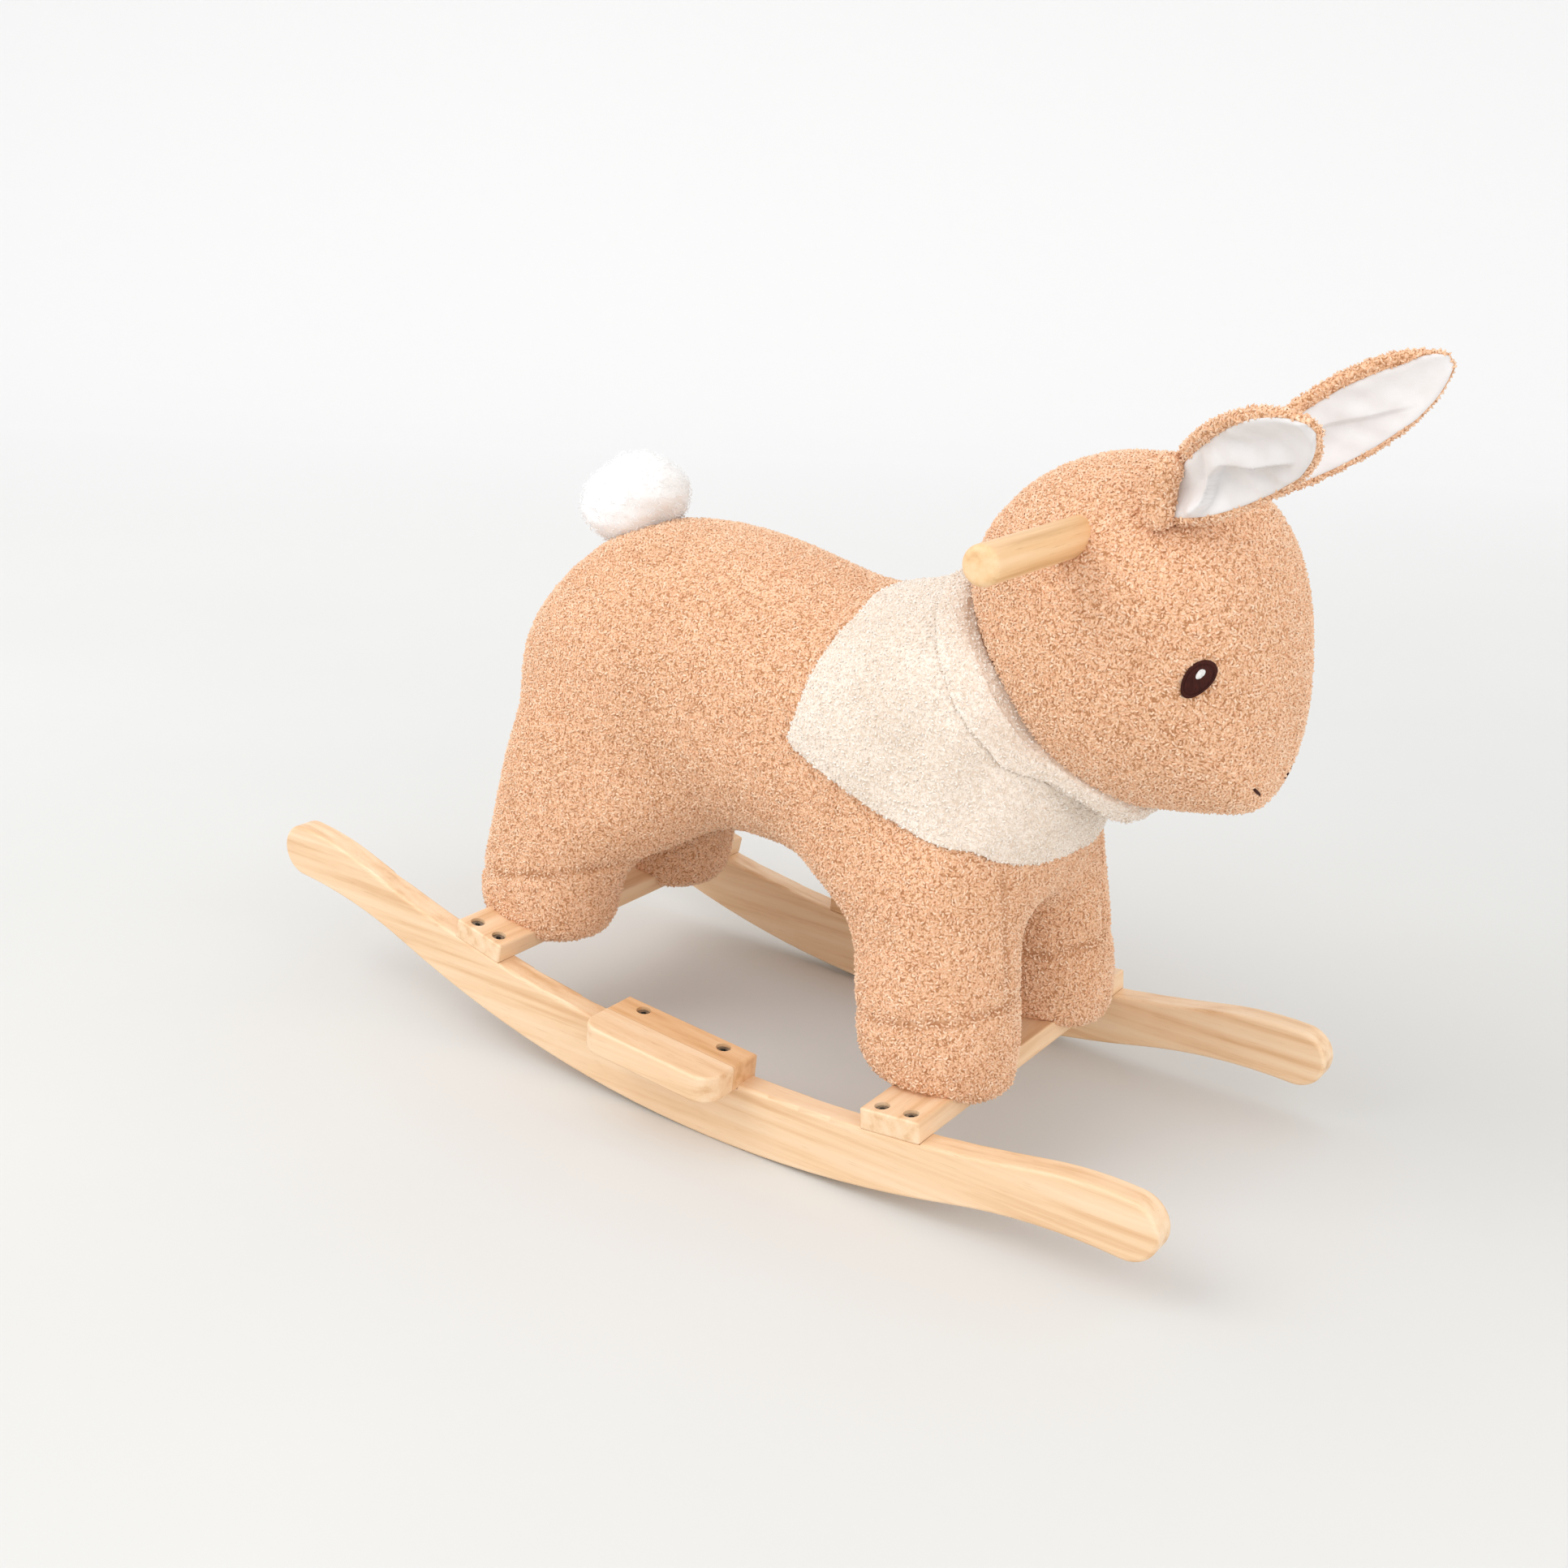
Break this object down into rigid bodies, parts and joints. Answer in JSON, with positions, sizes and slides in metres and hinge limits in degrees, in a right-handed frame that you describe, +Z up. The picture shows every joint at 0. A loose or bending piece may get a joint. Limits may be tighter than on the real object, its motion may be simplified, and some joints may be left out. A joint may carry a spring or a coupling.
{
  "type": "plush rocking animal",
  "caption": "Child's plush rabbit rocker: a stuffed body over a wooden frame on bowed runners, with crossbars, footrests, grip bar, floppy ears and a neckerchief",
  "frame": {"origin": "on the floor, under the middle of the box around the toy as it comes to rest", "axes": "+X forward towards the nose, +Y to the animal's left, +Z up"},
  "size_m": [0.723, 0.336, 0.5002],
  "materials": {
    "rubberwood": "clear satin lacquer on pale rubberwood",
    "frame_wood": "bare plywood, hidden under the plush",
    "screw_steel": "zinc plated",
    "tan_plush": "short curled teddy pile",
    "white_fleece": "long fluffy pile",
    "white_velour": "smooth velour",
    "cream_teddy": "short looped pile",
    "eye_thread": "satin stitch",
    "glint_thread": "satin stitch"
  },
  "bodies": {
    "rocker_frame": {"body": "tan_plush", "eye_glint_left": "glint_thread", "eye_glint_right": "glint_thread", "eye_left": "eye_thread", "eye_right": "eye_thread", "footrest_left": "rubberwood", "footrest_right": "rubberwood", "footrest_screws": "screw_steel", "front_crossbar": "rubberwood", "front_crossbar_screws": "screw_steel", "front_leg_left": "tan_plush", "front_leg_right": "tan_plush", "front_post_left": "frame_wood", "front_post_right": "frame_wood", "handle_dowel": "rubberwood", "handle_lock_screw": "screw_steel", "head": "tan_plush", "mouth": "eye_thread", "neck_board": "frame_wood", "neck_screws": "screw_steel", "neckerchief": "cream_teddy", "post_screws": "screw_steel", "rear_crossbar": "rubberwood", "rear_crossbar_screws": "screw_steel", "rear_leg_left": "tan_plush", "rear_leg_right": "tan_plush", "rear_post_left": "frame_wood", "rear_post_right": "frame_wood", "rocker_left": "rubberwood", "rocker_right": "rubberwood", "seat_board": "frame_wood", "seat_screws": "screw_steel", "tail_pompom": "white_fleece"},
    "ear_right": {"ear_right": "tan_plush", "ear_lining_right": "white_velour"},
    "ear_left": {"ear_left": "tan_plush", "ear_lining_left": "white_velour"}
  },
  "joints": [
    {"name": "ear_right_flop", "type": "hinge", "parent": "rocker_frame", "child": "ear_right", "pos_m": [0.27174, -0.05173, 0.43274], "axis": [-0.6413, -0.3448, 0.6854], "range_deg": [-25, 25], "stiffness_Nm_per_rad": 0.15},
    {"name": "ear_left_flop", "type": "hinge", "parent": "rocker_frame", "child": "ear_left", "pos_m": [0.27055, 0.0503, 0.43023], "axis": [-0.4797, -0.2797, 0.8316], "range_deg": [-25, 25], "stiffness_Nm_per_rad": 0.15}
  ]
}
